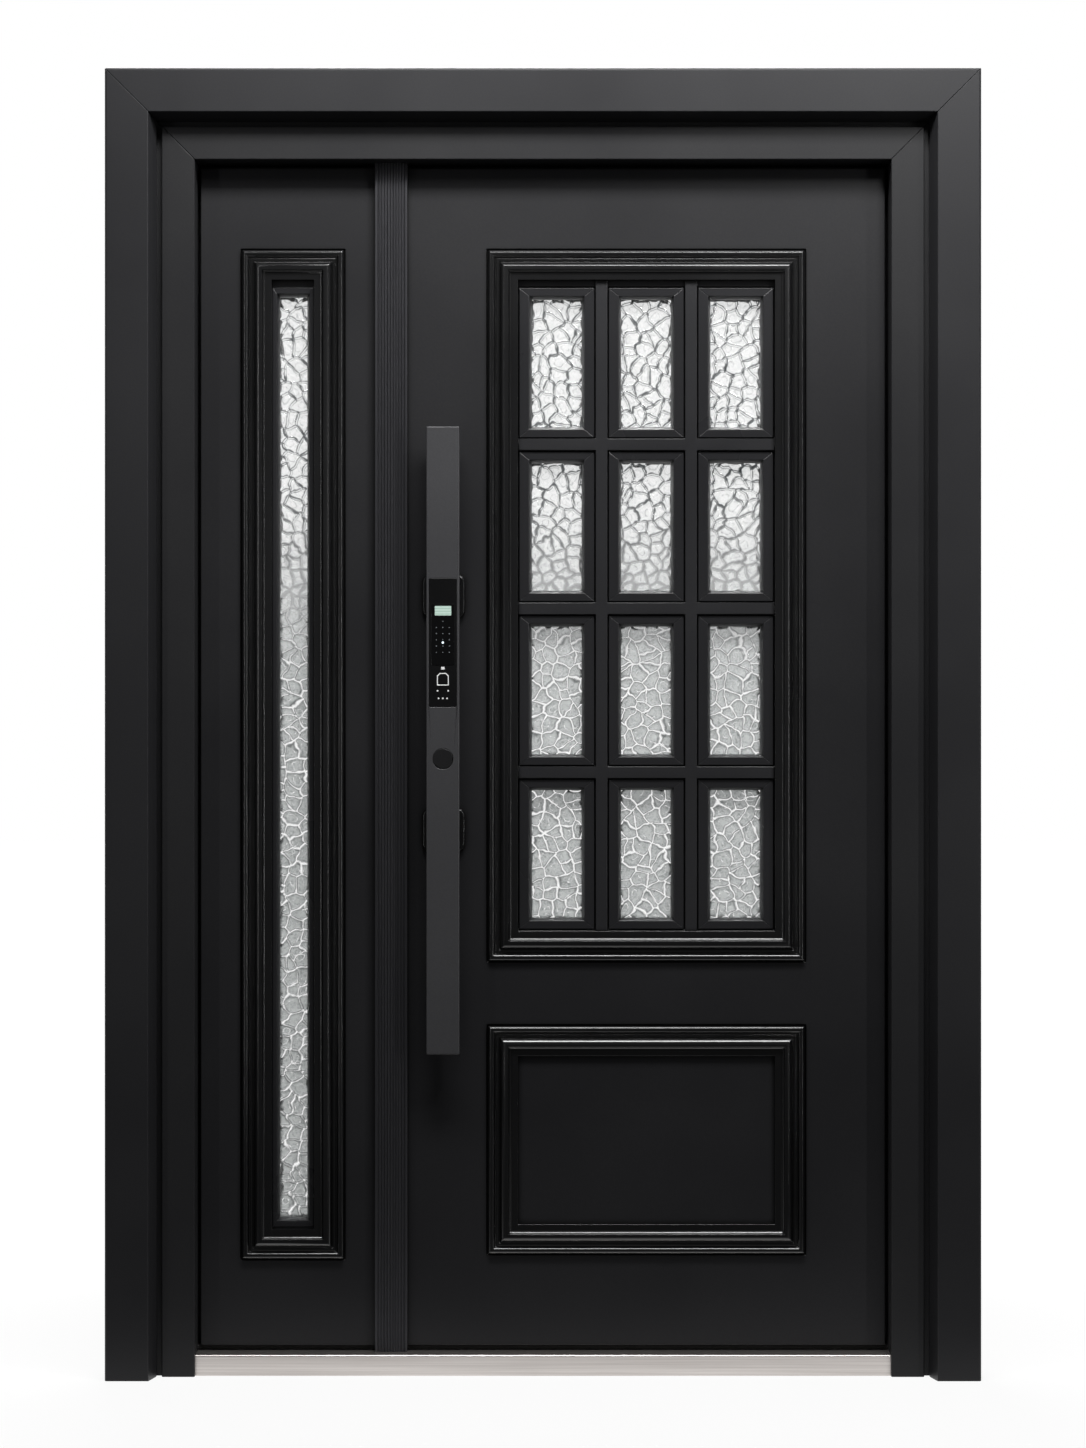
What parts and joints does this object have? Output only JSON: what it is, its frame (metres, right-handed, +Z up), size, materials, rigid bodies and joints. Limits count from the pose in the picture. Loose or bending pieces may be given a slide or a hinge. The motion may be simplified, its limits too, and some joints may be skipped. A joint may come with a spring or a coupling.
{
  "type": "cast aluminium entrance door with a side leaf",
  "caption": "Unequal double entrance door in a mitred frame: a wide leaf with a paned window, bead mouldings and a long pull bar, and a narrow leaf with a slit window.",
  "frame": {"origin": "on the underside of the sill at floor level, in the middle of the doorway, in the plane of the wall's outer face", "axes": "+X along the wall to the right seen from outside, +Y from outside inwards, +Z up"},
  "size_m": [1.55, 0.245, 2.322],
  "materials": {
    "black_powder_coat": "fine satin powder coat",
    "mullion_grey": "satin powder coat on a ribbed strip",
    "sill_steel": "brushed along its length",
    "relief_glass": "embossed with a net of cells",
    "handle_grey": "fine brushed and lacquered",
    "reader_black": "polished",
    "hinge_black": "satin"
  },
  "bodies": {
    "frame": {"casing_left": "black_powder_coat", "casing_right": "black_powder_coat", "casing_head": "black_powder_coat", "jamb_left": "black_powder_coat", "jamb_right": "black_powder_coat", "frame_head": "black_powder_coat", "sill": "sill_steel", "mullion_post": "black_powder_coat", "mullion_strip": "mullion_grey", "main_hinge_jamb_halves": "hinge_black", "side_hinge_jamb_halves": "hinge_black"},
    "main_leaf": {"main_leaf": "black_powder_coat", "window_moulding_front": "black_powder_coat", "window_moulding_back": "black_powder_coat", "panel_moulding_front": "black_powder_coat", "panel_moulding_back": "black_powder_coat", "window_grid_front": "black_powder_coat", "window_grid_back": "black_powder_coat", "window_glass": "relief_glass", "pull_front": "handle_grey", "pull_back": "handle_grey", "pull_mounts_front": "handle_grey", "pull_mounts_back": "handle_grey", "lock_reader": "reader_black", "lock_button": "reader_black", "main_hinge_leaf_halves": "hinge_black"},
    "side_leaf": {"side_leaf": "black_powder_coat", "slit_moulding_front": "black_powder_coat", "slit_moulding_back": "black_powder_coat", "slit_frame_front": "black_powder_coat", "slit_frame_back": "black_powder_coat", "slit_glass": "relief_glass", "side_hinge_leaf_halves": "hinge_black"}
  },
  "joints": [
    {"name": "main_leaf_hinge", "type": "hinge", "parent": "frame", "child": "main_leaf", "pos_m": [0.6325, 0.129, 1.1], "axis": [0, 0, -1], "range_deg": [0, 100]},
    {"name": "side_leaf_hinge", "type": "hinge", "parent": "frame", "child": "side_leaf", "pos_m": [-0.6325, 0.129, 1.1], "axis": [0, 0, 1], "range_deg": [0, 100]}
  ]
}
